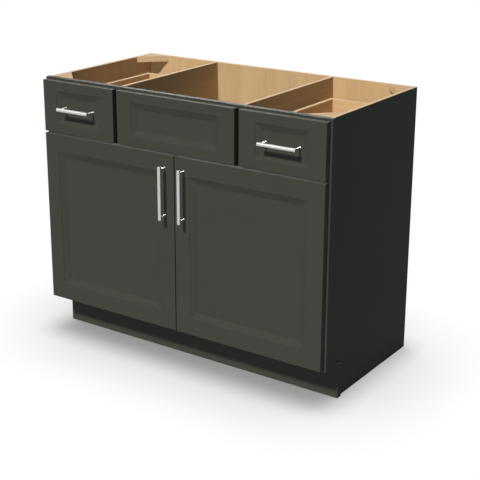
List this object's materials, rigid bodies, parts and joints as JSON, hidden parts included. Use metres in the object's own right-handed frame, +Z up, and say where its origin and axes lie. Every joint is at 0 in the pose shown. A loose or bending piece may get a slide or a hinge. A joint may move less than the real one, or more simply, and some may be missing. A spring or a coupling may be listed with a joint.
{
  "type": "vanity cabinet",
  "caption": "Floor-standing bathroom vanity base with a face frame, bevelled framed doors and drawer fronts, bar pulls, a fixed sink front and an open top.",
  "frame": {"origin": "on the floor, under the middle of the whole object's box, pulls included", "axes": "+X to the right seen from the front, +Y from the front to the back, +Z up"},
  "size_m": [1.0668, 0.5886, 0.8763],
  "materials": {
    "painted_wood": "satin dark olive-grey paint",
    "painted_ply": "plywood, satin dark olive-grey outside and clear lacquer inside",
    "natural_ply": "clear lacquered birch plywood",
    "satin_nickel": "satin nickel",
    "zinc_plated_steel": "bright zinc plate",
    "bumper_plastic": "soft translucent plastic"
  },
  "bodies": {
    "carcass": {"left_side_panel": "painted_ply", "left_divider": "natural_ply", "left_front_brace": "natural_ply", "left_back_brace": "natural_ply", "left_frame_stile": "painted_wood", "left_frame_mullion": "painted_wood", "left_hinge_arms": "zinc_plated_steel", "right_side_panel": "painted_ply", "right_divider": "natural_ply", "right_front_brace": "natural_ply", "right_back_brace": "natural_ply", "right_frame_stile": "painted_wood", "right_frame_mullion": "painted_wood", "right_hinge_arms": "zinc_plated_steel", "back_panel": "natural_ply", "bottom_panel": "natural_ply", "toe_board": "painted_wood", "sub_toe_board": "natural_ply", "frame_top_rail": "painted_wood", "frame_mid_rail": "painted_wood", "frame_bottom_rail": "painted_wood", "sink_front_stiles": "painted_wood", "sink_front_rails": "painted_wood", "sink_front_panel": "painted_wood", "sink_front_clips": "zinc_plated_steel", "slide_packers": "natural_ply", "slide_outer_rails": "zinc_plated_steel", "bumpers": "bumper_plastic"},
    "left_door": {"left_door_stiles": "painted_wood", "left_door_rails": "painted_wood", "left_door_panel": "painted_wood", "left_hinge_cups": "zinc_plated_steel", "left_hinge_pins": "zinc_plated_steel", "left_door_pull": "satin_nickel"},
    "left_drawer": {"left_drawer_front_stiles": "painted_wood", "left_drawer_front_rails": "painted_wood", "left_drawer_front_panel": "painted_wood", "left_drawer_box_sides": "natural_ply", "left_drawer_box_front": "natural_ply", "left_drawer_box_back": "natural_ply", "left_drawer_bottom": "natural_ply", "left_drawer_pull": "satin_nickel", "left_slide_inner_rails": "zinc_plated_steel"},
    "left_slide_middle": {"left_slide_middle_rails": "zinc_plated_steel"},
    "right_door": {"right_door_stiles": "painted_wood", "right_door_rails": "painted_wood", "right_door_panel": "painted_wood", "right_hinge_cups": "zinc_plated_steel", "right_hinge_pins": "zinc_plated_steel", "right_door_pull": "satin_nickel"},
    "right_drawer": {"right_drawer_front_stiles": "painted_wood", "right_drawer_front_rails": "painted_wood", "right_drawer_front_panel": "painted_wood", "right_drawer_box_sides": "natural_ply", "right_drawer_box_front": "natural_ply", "right_drawer_box_back": "natural_ply", "right_drawer_bottom": "natural_ply", "right_drawer_pull": "satin_nickel", "right_slide_inner_rails": "zinc_plated_steel"},
    "right_slide_middle": {"right_slide_middle_rails": "zinc_plated_steel"}
  },
  "joints": [
    {"name": "left_door_hinge", "type": "hinge", "parent": "carcass", "child": "left_door", "pos_m": [-0.51905, -0.25226, 0.40899], "axis": [0, 0, -1], "range_deg": [0, 105]},
    {"name": "left_drawer_slide", "type": "slide", "parent": "carcass", "child": "left_drawer", "axis": [0, -1, 0], "range_m": [0, 0.4318]},
    {"name": "left_middle_rail_slide", "type": "slide", "parent": "carcass", "child": "left_slide_middle", "axis": [0, -1, 0], "range_m": [0, 0.2159]},
    {"name": "right_door_hinge", "type": "hinge", "parent": "carcass", "child": "right_door", "pos_m": [0.51905, -0.25226, 0.40899], "axis": [0, 0, 1], "range_deg": [0, 105]},
    {"name": "right_drawer_slide", "type": "slide", "parent": "carcass", "child": "right_drawer", "axis": [0, -1, 0], "range_m": [0, 0.4318]},
    {"name": "right_middle_rail_slide", "type": "slide", "parent": "carcass", "child": "right_slide_middle", "axis": [0, -1, 0], "range_m": [0, 0.2159]}
  ],
  "couplings": [
    {"joint": "left_middle_rail_slide", "follows": "left_drawer_slide", "ratio": 0.5},
    {"joint": "right_middle_rail_slide", "follows": "right_drawer_slide", "ratio": 0.5}
  ]
}
